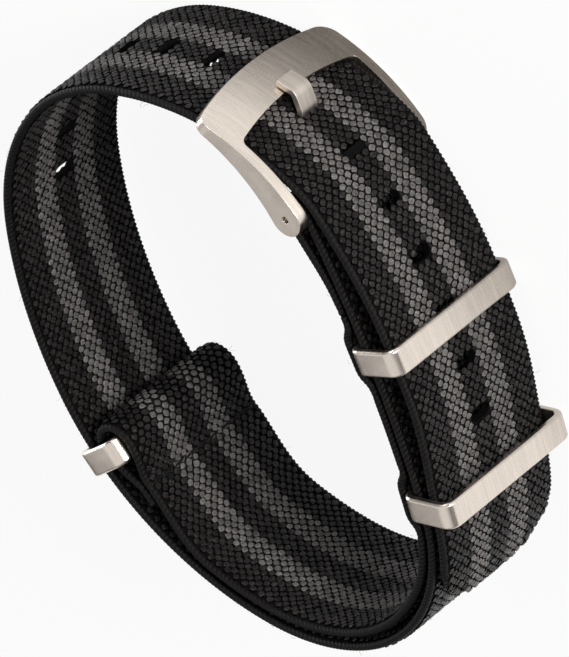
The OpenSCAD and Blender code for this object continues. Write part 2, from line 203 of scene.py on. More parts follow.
def loop_points(start, end, height_of=lambda s: 0.0):
    """Points along the loop between two distances, each at its height."""
    return [loop_at(s, height_of(s))[:2] for s in span(start, end, LINE_STEP)]


def arc_points(centre, radius, heading, turns):
    """Points round a centre, beside each turn of a heading."""
    return [beside(turned((centre[0], centre[1], heading), turn), radius)[:2] for turn in turns]


def bridge_points(p, q, pull_p, pull_q, step):
    """Points on a smooth curve from p to q that keeps to both headings."""
    points = []
    for u in span(step, 1 - step, step):
        a = 2 * u ** 3 - 3 * u ** 2 + 1
        b = (u ** 3 - 2 * u ** 2 + u) * pull_p
        c = 3 * u ** 2 - 2 * u ** 3
        d = (u ** 3 - u ** 2) * pull_q
        points.append((
            a * p[0] + b * math.cos(p[2]) + c * q[0] + d * math.cos(q[2]),
            a * p[1] + b * math.sin(p[2]) + c * q[1] + d * math.sin(q[2]),
        ))
    return points


def even_line(points, step=0.25, soften=0.45):
    """The same line with points at an even step, and its kinks rounded."""
    line = np.array(points, float)
    keep = np.r_[True, np.hypot(*np.diff(line, axis=0).T) > 1e-6]
    line = line[keep]
    sums = np.r_[0, np.cumsum(np.hypot(*np.diff(line, axis=0).T))]
    count = int(round(sums[-1] / step))
    at = np.linspace(0, sums[-1], count + 1)
    even = np.stack([np.interp(at, sums, line[:, 0]), np.interp(at, sums, line[:, 1])], 1)
    reach = int(3 * soften / step)
    weights = np.exp(-0.5 * (np.arange(-reach, reach + 1) * step / soften) ** 2)
    weights /= weights.sum()
    head = 2 * even[0] - even[reach:0:-1]
    tail = 2 * even[-1] - even[-2:-reach - 2:-1]
    padded = np.vstack([head, even, tail])
    return np.stack([np.convolve(padded[:, i], weights, "valid") for i in (0, 1)], 1)


class Route:
    """A drawn line with distances, directions and outer normals along it."""

    def __init__(self, points):
        self.line = even_line(points)
        steps = np.diff(self.line, axis=0)
        self.sums = np.r_[0, np.cumsum(np.hypot(*steps.T))]
        self.length = self.sums[-1]
        slope = np.gradient(self.line, axis=0)
        self.ahead = slope / np.hypot(*slope.T)[:, None]
        self.outer = np.stack([-self.ahead[:, 1], self.ahead[:, 0]], 1)

    def read(self, table, distance):
        """The line's points, directions or normals at one or more distances."""
        return np.stack([np.interp(distance, self.sums, table[:, i]) for i in (0, 1)], -1)

    def nearest(self, place, start=0.0, end=math.inf):
        """The distance along the line nearest to a place, between two distances."""
        gaps = np.hypot(*(self.line - np.array(place[:2])).T)
        gaps[(self.sums < start) | (self.sums > end)] = math.inf
        return self.sums[int(np.argmin(gaps))]


def band_points():
    """The main band's centre line, from the end of the fold-back to the tip of the tail."""
    points = loop_points(FOLD_BACK, LINE_STEP, fold_height)
    points += arc_points(BAR, WRAP_R, math.radians(LOOP_HEADING), span(180, 0, 5))
    points += loop_points(0.5, LOOP_LEN)
    slope = math.atan((TAIL_LIFT - TAIL_OVER_BAR) * math.pi / 2 / TAIL_RISE_LEN)
    over_bar = turned(loop_at(0, tail_height(0)), math.degrees(slope) - 360)
    points += bridge_points(loop_at(LOOP_LEN), over_bar, pull_p=9, pull_q=14.5, step=0.02)
    points += loop_points(0, TAIL_END - 0.1, tail_height)
    return points


def flap_points():
    """The keeper flap's centre line, round keeper 3's inner bar and back."""
    bar_height = WEB_T / 2 + RING_CLEAR - RING_OPEN - RING_T / 2
    bend = arc_end(loop_at(KEEPER_S[2], bar_height + FLAP_BEND_OUT), FLAP_BEND_ON, 0)
    start = turned(loop_at(FLAP_SPLIT, flap_height(FLAP_SPLIT)), -15)
    back = turned(beside(bend, FLAP_BEND_R), 180)
    end = turned(loop_at(FLAP_SPLIT, flap_back_height(FLAP_SPLIT)), 206)
    points = loop_points(FLAP_START, FLAP_SPLIT, flap_height)
    points += bridge_points(start, beside(bend, -FLAP_BEND_R), pull_p=4.6, pull_q=6.3, step=0.06)
    points += arc_points(bend, -FLAP_BEND_R, bend[2], span(0, 180, 6))
    points += bridge_points(back, end, pull_p=2, pull_q=3.2, step=0.06)
    points += loop_points(FLAP_SPLIT, FLAP_FOLD_END, flap_back_height)
    return points


band = Route(band_points())
flap = Route(flap_points())
beside_bar = (band.sums > band.length / 2) & (band.line[:, 1] < BAR[1] + 4)
TONGUE_HOLE = band.sums[int(np.argmax(beside_bar & (band.line[:, 0] <= TONGUE_HOLE_X)))]
HOLES = [TONGUE_HOLE + i * HOLE_PITCH for i in range(HOLES_AHEAD - HOLE_COUNT + 1, HOLES_AHEAD + 1)]


def hole_span(hole):
    """Middle, half length along and half length across; the yarn closes in round the tongue."""
    if hole == TONGUE_HOLE:
        return hole - 0.25, 0.75, 1.38
    return hole, HOLE_ALONG / 2, HOLE_ACROSS / 2


# Distances along each route where stitching goes through it
band_seams = [band.nearest(loop_at(s), start=20, end=200) for s in STITCHES_S[:-1]]
band_seams.append(band.nearest(loop_at(STITCHES_S[0], fold_height(STITCHES_S[0])), end=15))
flap_seams = [flap.nearest(loop_at(s, flap_height(s)), end=96) for s in STITCHES_S]
flap_seams.append(flap.nearest(loop_at(STITCHES_S[-1], flap_back_height(STITCHES_S[-1])), start=100))


def pinch_at(distances, seams, reach=0.75):
    """How far each place is pulled in by the stitching, from 0 to 1."""
    pull = np.zeros(len(distances))
    for seam in seams:
        pull = np.maximum(pull, np.exp(-((distances - seam) / reach) ** 2))
    return pull


def half_width_at(route, distances):
    """Half the webbing's width, which tapers at the tail's tip."""
    if route is flap:
        return np.full(len(distances), HALF_W)
    reach = np.clip((distances - (route.length - TIP_LEN)) / TIP_LEN, 0, 1)
    return HALF_W * np.sqrt(np.clip(1 - reach ** 2.3, 0.0004, 1))


# Meshes

def add_object(name, data):
    """Puts data into the scene as an object."""
    thing = bpy.data.objects.new(name, data)
    bpy.context.scene.collection.objects.link(thing)
    return thing


def new_object(name, vertices, faces, smooth=True):
    """A mesh object from places in metres."""
    mesh = bpy.data.meshes.new(name)
    mesh.from_pydata([tuple(v) for v in vertices], [], faces)
    mesh.validate()
    for polygon in mesh.polygons:
        polygon.use_smooth = smooth
    return add_object(name, mesh)


def ring_faces(rings, sides, first=0):
    """The faces of a closed tube through rings of vertices, with a cap at each end."""
    faces = []
    for i in range(rings - 1):
        at = first + i * sides
        for j in range(sides):
            k = (j + 1) % sides
            faces.append((at + j, at + sides + j, at + sides + k, at + k))
    last = first + (rings - 1) * sides
    faces.append(tuple(first + j for j in range(sides)))
    faces.append(tuple(last + j for j in reversed(range(sides))))
    return faces


def face_outward(thing):
    """Turns a closed mesh's faces outward."""
    total = 0.0
    for polygon in thing.data.polygons:
        corners = [thing.data.vertices[i].co for i in polygon.vertices]
        for i in range(1, len(corners) - 1):
            total += corners[0].dot(corners[i].cross(corners[i + 1]))
    if total < 0:
        thing.data.flip_normals()


def set_uv(thing, marks):
    """Gives each vertex its place on the webbing, in millimetres, as its UV map."""
    uv = thing.data.uv_layers.new(name="UVMap")
    for loop in thing.data.loops:
        uv.data[loop.index].uv = marks[loop.vertex_index]


def apply_modifiers(thing):
    """Turns a piece with modifiers into a plain mesh."""
    depsgraph = bpy.context.evaluated_depsgraph_get()
    depsgraph.update()
    mesh = bpy.data.meshes.new_from_object(thing.evaluated_get(depsgraph))
    old = thing.data
    thing.modifiers.clear()
    thing.data = mesh
    bpy.data.meshes.remove(old)
    return thing


def ground_section():
    """The woven ground in section: (share of half width, height) round its outline."""
    edge_height = 0.8
    upper = [(share, 1.0) for share in np.linspace(-GROUND_SHARE, GROUND_SHARE, 27)]
    upper[0] = (-GROUND_SHARE, edge_height)
    upper[-1] = (GROUND_SHARE, edge_height)
    for angle in (55, 20, -20, -55):
        around = math.radians(angle)
        upper.append((GROUND_SHARE + 0.02 * math.cos(around), 0.92 * edge_height * math.sin(around)))
    return upper + [(-share, -height) for share, height in upper]


def woven_ground(name, route, seams):
    """The closed ribbon that carries the knobs."""
    distances = np.linspace(0, route.length, int(route.length / GROUND_STEP) + 1)
    if route is band:
        tip_from = route.length - TIP_FINE
        distances = np.r_[distances[distances < tip_from], np.linspace(tip_from, route.length, 9)]
    place = route.read(route.line, distances)
    outer = route.read(route.outer, distances)
    half = half_width_at(route, distances)
    thick = GROUND_HALF * (1 - 0.35 * pinch_at(distances, seams))
    outline = ground_section()
    vertices = []
    marks = []
    for i, s in enumerate(distances):
        for share, height in outline:
            point = place[i] + outer[i] * height * thick[i]
            vertices.append((point[0] * MM, point[1] * MM, (MID_Z + share * half[i]) * MM))
            marks.append((s, share * half[i]))
    thing = new_object(name, vertices, ring_faces(len(distances), len(outline)))
    face_outward(thing)
    set_uv(thing, marks)
    return thing


def edge_cords(name, route, seams):
    """A knitted edge on the lower side and a smoothly wrapped one on the upper side."""
    fine = np.arange(0.15, route.length - TIP_FINE, CORD_STEP)
    to_tip = CORD_END + (TIP_FINE - CORD_END) * (1 - np.linspace(0, 1, 24)) ** 2
    fine = np.r_[fine, route.length - to_tip]
    place = route.read(route.line, fine)
    half = half_width_at(route, fine)
    normal = np.column_stack([route.read(route.outer, fine), np.zeros(len(fine))])
    thin = 1 - 0.25 * pinch_at(fine, seams, 0.5)
    vertices = []
    faces = []
    marks = []
    for sign, lobe, swell, lead in ((-1, 0.62, 0.16, 1), (1, 0.56, 0.045, 3)):
        faces += ring_faces(len(fine), CORD_SIDES, len(vertices))
        path = np.column_stack([place, MID_Z + sign * np.maximum(half - CORD_IN, 0.0)])
        tangent = np.gradient(path, axis=0)
        tangent /= np.linalg.norm(tangent, axis=1)[:, None]
        across = np.cross(tangent, normal) * -sign
        for i, s in enumerate(fine):
            for j in range(CORD_SIDES):
                turn = 2 * math.pi * j / CORD_SIDES
                lump = 1 + swell * math.cos(2 * math.pi * s / lobe + lead * turn * sign)
                out = CORD_OUT * lump * thin[i] * math.sin(turn)
                wide = CORD_WIDE * lump * math.cos(turn)
                vertices.append((path[i] + normal[i] * out + across[i] * wide) * MM)
                marks.append((s, turn * 0.48))
    thing = new_object(name, vertices, faces)
    set_uv(thing, marks)
    return thing


def upright_cutter(name, place, ahead, outline, depth):
    """A prism through the webbing, from (along, across) points in millimetres."""
    outer = np.array([-ahead[1], ahead[0]])
    vertices = []
    for side in (-depth, depth):
        for along, across in outline:
            point = np.array(place) + np.array(ahead) * along + outer * side
            vertices.append((point[0] * MM, point[1] * MM, (MID_Z + across) * MM))
    thing = new_object(name, vertices, ring_faces(2, len(outline)), False)
    face_outward(thing)
    return thing


def rounded_slot(half_along, half_across, sides=5):
    """A slot across the strap with round ends."""
    radius = min(half_along, half_across)
    points = []
    for sign in (1, -1):
        for i in range(sides + 1):
            angle = math.pi * i / sides
            across = half_across - radius + radius * math.sin(angle)
            points.append((sign * radius * math.cos(angle), sign * across))
    return points


def hole_cutters():
    """The prisms of the holes and of the slot round the bar."""
    cutters = []
    for i, hole in enumerate(HOLES):
        middle, half_along, half_across = hole_span(hole)
        place = band.read(band.line, middle)
        ahead = band.read(band.ahead, middle)
        outline = rounded_slot(half_along, half_across)
        cutters.append(upright_cutter(f"cutter_{i}", place, ahead, outline, HOLE_CUT))
    heading = math.radians(LOOP_HEADING)
    ahead = (math.cos(heading), math.sin(heading))
    ends = ((SLOT_BACK, -1), (SLOT_FRONT, -1), (SLOT_FRONT, 1), (SLOT_BACK, 1))
    outline = [(along, sign * SLOT_HALF) for along, sign in ends]
    cutters.append(upright_cutter("cutter_slot", BAR, ahead, outline, SLOT_CUT))
    return cutters


def cut(thing, cutters):
    """Cuts prisms out of a piece."""
    joined = cutters[0]
    with bpy.context.temp_override(active_object=joined, selected_editable_objects=cutters, object=joined):
        bpy.ops.object.join()
    modifier = thing.modifiers.new("cut", "BOOLEAN")
    modifier.operation = "DIFFERENCE"
    modifier.solver = "MANIFOLD"
    modifier.object = joined
    apply_modifiers(thing)
    bpy.data.objects.remove(joined)


# Node helpers

class Graph:
    """Short ways to add nodes to a node tree."""

    def __init__(self, tree):
        self.tree = tree

    def add(self, kind, links=None, **settings):
        """A new node, with a number, a colour or another node's output for each input."""
        node = self.tree.nodes.new(kind)
        for key, value in settings.items():
            setattr(node, key, value)
        for key, value in (links or {}).items():
            self.join(value, node.inputs[key])
        return node

    def out(self, kind, links=None, **settings):
        """The first output of a new node."""
        return self.add(kind, links, **settings).outputs[0]

    def join(self, value, socket):
        if isinstance(value, bpy.types.NodeSocket):
            self.tree.links.new(value, socket)
        else:
            socket.default_value = value

    def calc(self, operation, a, b=0.0):
        return self.out("ShaderNodeMath", {0: a, 1: b}, operation=operation)

    def plus(self, a, b):
        return self.calc("ADD", a, b)

    def minus(self, a, b):
        return self.calc("SUBTRACT", a, b)

    def times(self, a, b):
        return self.calc("MULTIPLY", a, b)

    def absolute(self, value):
        return self.calc("ABSOLUTE", value)

    def between(self, value, low, high):
        """1 where a value lies between two others, and 0 elsewhere."""
        return self.times(self.calc("GREATER_THAN", value, low), self.calc("LESS_THAN", value, high))

    def xyz(self, x=0.0, y=0.0, z=0.0):
        return self.out("ShaderNodeCombineXYZ", {0: x, 1: y, 2: z})

    def parts(self, vector):
        """A vector's three numbers."""
        return self.add("ShaderNodeSeparateXYZ", {0: vector}).outputs

    def remap(self, value, from_min, from_max, to_min, to_max):
        """A value taken from one range to another and kept within it."""
        return self.out("ShaderNodeMapRange", {
            "Value": value, "From Min": from_min, "From Max": from_max, "To Min": to_min, "To Max": to_max})


SOCKET_KINDS = {float: "NodeSocketFloat", int: "NodeSocketInt", type(None): "NodeSocketMaterial"}


class Grower(Graph):
    """A geometry node tree that grows things along a line, with named inputs."""

    def __init__(self, name, inputs):
        super().__init__(bpy.data.node_groups.new(name, "GeometryNodeTree"))
        sockets = self.tree.interface
        sockets.new_socket("Geometry", in_out="INPUT", socket_type="NodeSocketGeometry")
        self.names = {}
        for label, value in inputs.items():
            socket = sockets.new_socket(label, in_out="INPUT", socket_type=SOCKET_KINDS[type(value)])
            if value is not None:
                socket.default_value = value
            self.names[label] = socket.identifier
        sockets.new_socket("Geometry", in_out="OUTPUT", socket_type="NodeSocketGeometry")
        self.value = self.add("NodeGroupInput").outputs
        self.result = self.add("NodeGroupOutput")
        self.curve = self.out("GeometryNodeMeshToCurve", {"Mesh": self.value["Geometry"]})

    def vector(self, operation, a, b=(0, 0, 0)):
        node = self.add("ShaderNodeVectorMath", {0: a, 1: b}, operation=operation)
        return node.outputs["Value" if operation == "LENGTH" else 0]

    def scaled(self, vector, scale):
        return self.out("ShaderNodeVectorMath", {0: vector, "Scale": scale}, operation="SCALE")

    def random(self, low, high, salt):
        """A random number for each point; each use has a salt of its own."""
        links = {2: low, 3: high, "Seed": self.plus(self.value["Seed"], salt)}
        return self.add("FunctionNodeRandomValue", links, data_type="FLOAT").outputs[1]

    def store(self, geometry, name, value, kind="FLOAT"):
        links = {"Geometry": geometry, "Name": name, "Value": value}
        return self.out("GeometryNodeStoreNamedAttribute", links, data_type=kind, domain="POINT")

    def stored(self, name, kind="FLOAT"):
        return self.out("GeometryNodeInputNamedAttribute", {"Name": name}, data_type=kind)

    def moved(self, geometry, **links):
        return self.out("GeometryNodeSetPosition", {"Geometry": geometry, **links})

    def without(self, geometry, selection):
        return self.out("GeometryNodeDeleteGeometry", {"Geometry": geometry, "Selection": selection},
                        domain="POINT")

    def facing(self, up, along, sway):
        """A rotation that sets Z along one direction and X towards another, then swings round Z."""
        turn = self.out("FunctionNodeAxesToRotation", {"Primary Axis": up, "Secondary Axis": along},
                        primary_axis="Z", secondary_axis="X")
        twist = self.out("FunctionNodeAxisAngleToRotation", {"Axis": (0.0, 0.0, 1.0), "Angle": sway})
        return self.out("FunctionNodeRotateRotation", {"Rotation": turn, "Rotate By": twist},
                        rotation_space="LOCAL")

    def arc_tube(self, sweep, points, sides, thickness, **placing):
        """A bent tube along an arc of radius 1."""
        arc = self.out("GeometryNodeCurveArc", {"Resolution": points, "Radius": 1.0, "Start Angle": 0.0,
                                                "Sweep Angle": sweep}, mode="RADIUS")
        arc = self.out("GeometryNodeTransform", {"Geometry": arc, **placing})
        ring = self.out("GeometryNodeCurvePrimitiveCircle", {"Resolution": sides, "Radius": thickness},
                        mode="RADIUS")
        return self.out("GeometryNodeCurveToMesh", {"Curve": arc, "Profile Curve": ring})

    def scatter(self, points, thing, turn, size):
        """Real copies of a thing on points."""
        placed = self.out("GeometryNodeInstanceOnPoints", {
            "Points": points, "Instance": thing, "Rotation": turn, "Scale": size})
        return self.out("GeometryNodeRealizeInstances", {"Geometry": placed})

    def finish(self, geometry, label):
        """Gives the result the material of that input."""
        done = self.out("GeometryNodeSetMaterial", {"Geometry": geometry, "Material": self.value[label]})
        self.join(done, self.result.inputs[0])
        return self

    def sample_route(self, distance):
        """The route's place, direction and outer normal, and the facts stored on it, at a distance."""
        sample = self.add("GeometryNodeSampleCurve", {
            "Curves": self.curve, "Value": self.stored("facts", "FLOAT_VECTOR"), "Length": distance},
            data_type="FLOAT_VECTOR", mode="LENGTH").outputs
        outer = self.vector("CROSS_PRODUCT", (0.0, 0.0, 1.0), sample["Tangent"])
        return sample["Position"], sample["Tangent"], outer, self.parts(sample["Value"])


def grow(thing, nodes, values):
    """Runs a node tree on a piece and keeps the result as a plain mesh."""
    modifier = thing.modifiers.new("grow", "NODES")
    modifier.node_group = nodes.tree
    for label, value in values.items():
        modifier[nodes.names[label]] = value
    thing.update_tag()
    bpy.context.view_layer.update()
    return apply_modifiers(thing)


def knob_dome(nodes):
    """One knob of size 1: a dome with a flat top and the six sides of its cell in the lattice."""
    half_cell = KNOB_ACROSS / 2
    tiny = 0.001
    ball = nodes.out("GeometryNodeMeshUVSphere", {"Segments": 9, "Rings": 6, "Radius": 1.0})
    x, y, z = nodes.parts(nodes.out("GeometryNodeInputPosition"))
    dome = nodes.without(ball, nodes.calc("LESS_THAN", z, -0.1))
    reach = nodes.calc("MAXIMUM", nodes.vector("LENGTH", nodes.xyz(x, y)), tiny)
    along = nodes.calc("DIVIDE", nodes.absolute(x), reach)
    across = nodes.calc("DIVIDE", nodes.absolute(y), reach)
    side = nodes.calc("DIVIDE", half_cell, nodes.calc("MAXIMUM", across, tiny))
    lean = nodes.plus(nodes.times(across, half_cell), nodes.times(along, KNOB_ALONG))
    corner = nodes.calc("DIVIDE", (half_cell ** 2 + KNOB_ALONG ** 2) / 2, lean)
    cell = nodes.calc("MINIMUM", side, corner)
    rounded_cell = nodes.plus(nodes.times(cell, 0.62), 0.185)
    wider = nodes.times(nodes.calc("POWER", reach, -0.42), rounded_cell)
    flatter = nodes.calc("POWER", nodes.calc("MAXIMUM", z, 0.0), 0.8)
    shaped = nodes.xyz(nodes.times(x, wider), nodes.times(y, wider), flatter)
    dome = nodes.store(dome, "local", nodes.calc("POWER", reach, 0.58))
    return nodes.out("GeometryNodeSetShadeSmooth", {"Geometry": nodes.moved(dome, Position=shaped)})


def knob_nodes():
    """Rounded knobs of thick yarn in a staggered lattice over one face of the webbing."""
    nodes = Grower("woven_knobs", {
        "Row Step": KNOB_ALONG * MM,
        "Column Step": KNOB_ACROSS * MM,
        "Columns": 16,
        "Face": 1.0,
        "Striped": 0.0,
        "Ground Height": 0.46 * MM,
        "Knob Length": 0.97 * MM,
        "Knob Width": 0.97 * MM,
        "Knob Height": 0.26 * MM,
        "Slant": 0.0,
        "Unevenness": 0.35 * MM,
        "Hole Half Width": 1.45 * MM,
        "Edge Margin": 0.27 * MM,
        "Stripe Inner Edge": STRIPE_IN * MM,
        "Stripe Outer Edge": STRIPE_OUT * MM,
        "Seed": 7,
        "Yarn": None,
    })
    value = nodes.value
    step = value["Row Step"]
    pitch = value["Column Step"]
    columns = value["Columns"]

    # The lattice's rows and columns, from each point's index
    length = nodes.out("GeometryNodeCurveLength", {"Curve": nodes.curve})
    rows = nodes.calc("FLOOR", nodes.calc("DIVIDE", length, step))
    points = nodes.out("GeometryNodePoints", {"Count": nodes.times(rows, columns)})
    index = nodes.out("GeometryNodeInputIndex")
    row = nodes.calc("FLOOR", nodes.calc("DIVIDE", nodes.plus(index, 0.5), columns))
    column = nodes.minus(index, nodes.times(row, columns))

    # Each knob's place, a little off the lattice and lower beside stitching
    place, tangent, outer, facts = nodes.sample_route(nodes.times(nodes.plus(row, 0.5), step))
    pinch, open_here, half_width = facts
    shift = nodes.times(nodes.calc("MODULO", row, 2.0), 0.5)
    middle = nodes.times(nodes.minus(columns, 0.5), 0.5)
    across = nodes.times(nodes.minus(nodes.plus(column, shift), middle), pitch)
    sideways = nodes.plus(across, nodes.times(nodes.random(-0.045, 0.045, 1), pitch))
    drift = nodes.times(nodes.random(-0.05, 0.05, 2), step)
    sink = nodes.minus(1.0, nodes.times(pinch, 0.5))
    lift = nodes.times(nodes.times(value["Ground Height"], sink), value["Face"])
    spot = nodes.vector("ADD", place, nodes.scaled(outer, lift))
    spot = nodes.vector("ADD", spot, nodes.scaled(tangent, drift))
    spot = nodes.vector("ADD", spot, nodes.xyz(z=sideways))
    placed = nodes.moved(points, Position=spot)

    # Knobs left out: in the holes, past the edge, and those of the other colour
    away = nodes.absolute(across)
    in_hole = nodes.times(nodes.calc("GREATER_THAN", open_here, 0.5),
                          nodes.calc("LESS_THAN", away, value["Hole Half Width"]))
    past_edge = nodes.calc("GREATER_THAN", away, nodes.minus(half_width, value["Edge Margin"]))
    stripe = nodes.between(away, value["Stripe Inner Edge"], value["Stripe Outer Edge"])
    other = nodes.absolute(nodes.minus(stripe, value["Striped"]))
    skip = nodes.calc("MAXIMUM", nodes.calc("MAXIMUM", in_hole, past_edge), other)
    marked = nodes.store(placed, "tone", nodes.random(0.0, 1.0, 3))
    marked = nodes.store(marked, "facing", nodes.scaled(outer, value["Face"]), "FLOAT_VECTOR")
    marked = nodes.store(marked, "pinch", pinch)
    kept = nodes.without(marked, skip)

    # The knobs themselves
    facing = nodes.stored("facing", "FLOAT_VECTOR")
    along = nodes.vector("CROSS_PRODUCT", facing, (0.0, 0.0, 1.0))
    turn = nodes.facing(facing, along, nodes.plus(value["Slant"], nodes.random(-0.12, 0.12, 4)))
    squeeze = nodes.minus(1.0, nodes.times(nodes.stored("pinch"), 0.3))
    size = nodes.xyz(
        nodes.times(value["Knob Length"], nodes.random(0.93, 1.06, 5)),
        nodes.times(value["Knob Width"], nodes.random(0.94, 1.05, 6)),
        nodes.times(nodes.times(value["Knob Height"], squeeze), nodes.random(0.85, 1.12, 7)),
    )
    real = nodes.scatter(kept, knob_dome(nodes), turn, size)
    uneven = nodes.add("ShaderNodeTexNoise", {"Scale": 1900.0, "Detail": 1.0}).outputs["Color"]
    push = nodes.scaled(nodes.vector("SUBTRACT", uneven, (0.5, 0.5, 0.5)), value["Unevenness"])
    return nodes.finish(nodes.moved(real, Offset=push), "Yarn")


def stitch_nodes():
    """Short slanted stitches of sewing thread along a row of needle holes."""
    nodes = Grower("lock_stitches", {
        "Stitch Pitch": 2.1 * MM,
        "Stitch Length": 0.98 * MM,
        "Stitch Rise": 0.22 * MM,
        "Slant": 0.12,
        "Seed": 5,
        "Thread": None,
    })
    value = nodes.value
    curve = nodes.out("GeometryNodeResampleCurve", {"Curve": nodes.curve, "Length": value["Stitch Pitch"]},
                      mode="LENGTH")
    points = nodes.out("GeometryNodeCurveToPoints", {"Curve": curve}, mode="EVALUATED")
    loop = nodes.arc_tube(math.pi, 9, 8, 0.13, Rotation=(math.pi / 2, 0.0, 0.0))
    loop = nodes.out("GeometryNodeSetShadeSmooth", {"Geometry": loop})
    outward = nodes.stored("outward", "FLOAT_VECTOR")
    turn = nodes.facing(outward, (0.0, 0.0, 1.0), nodes.plus(value["Slant"], nodes.random(-0.1, 0.1, 2)))
    length = nodes.times(value["Stitch Length"], nodes.random(0.92, 1.05, 3))
    size = nodes.xyz(length, value["Stitch Length"], value["Stitch Rise"])
    return nodes.finish(nodes.scatter(points, loop, turn, size), "Thread")


def fibre_nodes():
    """Stray fibres that stand off the webbing, mostly along its edges."""
    nodes = Grower("stray_fibres", {
        "Count": 400,
        "Fibre Length": 0.38 * MM,
        "Seed": 11,
        "Fibre": None,
    })
    value = nodes.value
    length = nodes.out("GeometryNodeCurveLength", {"Curve": nodes.curve})
    points = nodes.out("GeometryNodePoints", {"Count": value["Count"]})
    place, _, outer, facts = nodes.sample_route(nodes.times(nodes.random(0.01, 0.99, 1), length))
    side = nodes.calc("SIGN", nodes.random(-1.0, 1.0, 2))
    inset = nodes.times(nodes.calc("POWER", nodes.random(0.0, 1.0, 3), 4.0), 9.0 * MM)
    across = nodes.times(side, nodes.minus(facts[2], inset))
    face = nodes.times(nodes.calc("SIGN", nodes.random(-1.0, 1.0, 4)), 0.45 * MM)
    spot = nodes.vector("ADD", place, nodes.scaled(outer, face))
    spot = nodes.vector("ADD", spot, nodes.xyz(z=across))
    hair = nodes.arc_tube(1.7, 5, 3, 0.028, Translation=(-1.0, 0.0, 0.0))
    angles = nodes.xyz(*[nodes.random(0.0, 6.28, salt) for salt in (5, 6, 7)])
    turn = nodes.out("FunctionNodeEulerToRotation", {"Euler": angles})
    size = nodes.times(value["Fibre Length"], nodes.random(0.5, 1.4, 8))
    fibres = nodes.scatter(nodes.moved(points, Position=spot), hair, turn, nodes.xyz(size, size, size))
    return nodes.finish(fibres, "Fibre")


def route_object(name, route, seams):
    """The route as a line in metres, with its pinch, openings and half width stored on its points."""
    mesh = bpy.data.meshes.new(name)
    count = len(route.line)
    places = [(x * MM, y * MM, MID_Z * MM) for x, y in route.line]
    mesh.from_pydata(places, [(i, i + 1) for i in range(count - 1)], [])
    opening = np.zeros(count)
    if route is band:
        for hole in HOLES:
            middle, half_along = hole_span(hole)[:2]
            opening[np.abs(route.sums - middle) < half_along - 0.05] = 1
        to_bar = np.hypot(*(route.line - np.array(BAR)).T)
        opening[(to_bar < 3.0) & (route.sums < 30)] = 1
    facts = np.stack([pinch_at(route.sums, seams), opening, half_width_at(route, route.sums) * MM], 1)
    stored = mesh.attributes.new("facts", "FLOAT_VECTOR", "POINT")
    stored.data.foreach_set("vector", facts.astype(np.float32).ravel())
    return add_object(name, mesh)


def needle_lines(name, lines, half=HALF_W - STITCH_MARGIN):
    """Lines across the strap from (point, outward normal) pairs, in millimetres."""
    mesh = bpy.data.meshes.new(name)
    places = []
    edges = []
    outward = []
    for point, normal in lines:
        for z in (-half, half):
            places.append((point[0] * MM, point[1] * MM, (MID_Z + z) * MM))
            outward.append((normal[0], normal[1], 0.0))
        edges.append((len(places) - 2, len(places) - 1))
    mesh.from_pydata(places, edges, [])
    stored = mesh.attributes.new("outward", "FLOAT_VECTOR", "POINT")
    stored.data.foreach_set("vector", np.array(outward, np.float32).ravel())
    return add_object(name, mesh)


# Materials

class Shades(Graph):
    """A material with its shader; colours to mix are given as three numbers."""

    def __init__(self, name):
        self.material = bpy.data.materials.new(name)
        self.material.use_nodes = True
        super().__init__(self.material.node_tree)
        self.shader = self.tree.nodes["Principled BSDF"]
        self.coordinates = self.add("ShaderNodeTexCoord").outputs

    def mix(self, share, a, b):
        a, b = (c + (1,) if isinstance(c, tuple) else c for c in (a, b))
        return self.add("ShaderNodeMix", {"Factor": share, 6: a, 7: b}, data_type="RGBA").outputs[2]

    def ramp(self, value, *stops):
        """Grey levels from (position, level) stops."""
        node = self.add("ShaderNodeValToRGB", {"Fac": value})
        while len(node.color_ramp.elements) < len(stops):
            node.color_ramp.elements.new(0.5)
        for element, (at, level) in zip(node.color_ramp.elements, stops):
            element.position = at
            element.color = (level, level, level, 1)
        return node.outputs[0]

    def noise(self, place, scale, detail=3.0, roughness=0.55):
        return self.add("ShaderNodeTexNoise", {
            "Vector": place, "Scale": scale, "Detail": detail, "Roughness": roughness}).outputs["Fac"]

    def waves(self, place, scale, distortion, direction="X", detail=2.0):
        return self.add("ShaderNodeTexWave", {
            "Vector": place, "Scale": scale, "Distortion": distortion, "Detail": detail},
            wave_type="BANDS", bands_direction=direction).outputs["Fac"]

    def mapped(self, place, **settings):
        return self.out("ShaderNodeMapping", {"Vector": place, **settings})

    def attribute(self, name):
        return self.add("ShaderNodeAttribute", attribute_name=name).outputs["Fac"]

    def total(self, *shares):
        """The sum of (value, weight) pairs."""
        total = self.times(*shares[0])
        for value, weight in shares[1:]:
            total = self.plus(total, self.times(value, weight))
        return total

    def bump(self, height, strength, distance):
        normal = self.out("ShaderNodeBump", {"Height": height, "Strength": strength, "Distance": distance})
        self.join(normal, self.shader.inputs["Normal"])

    def set(self, **values):
        for name, value in values.items():
            self.join(value, self.shader.inputs[name.replace("_", " ")])
        return self.material


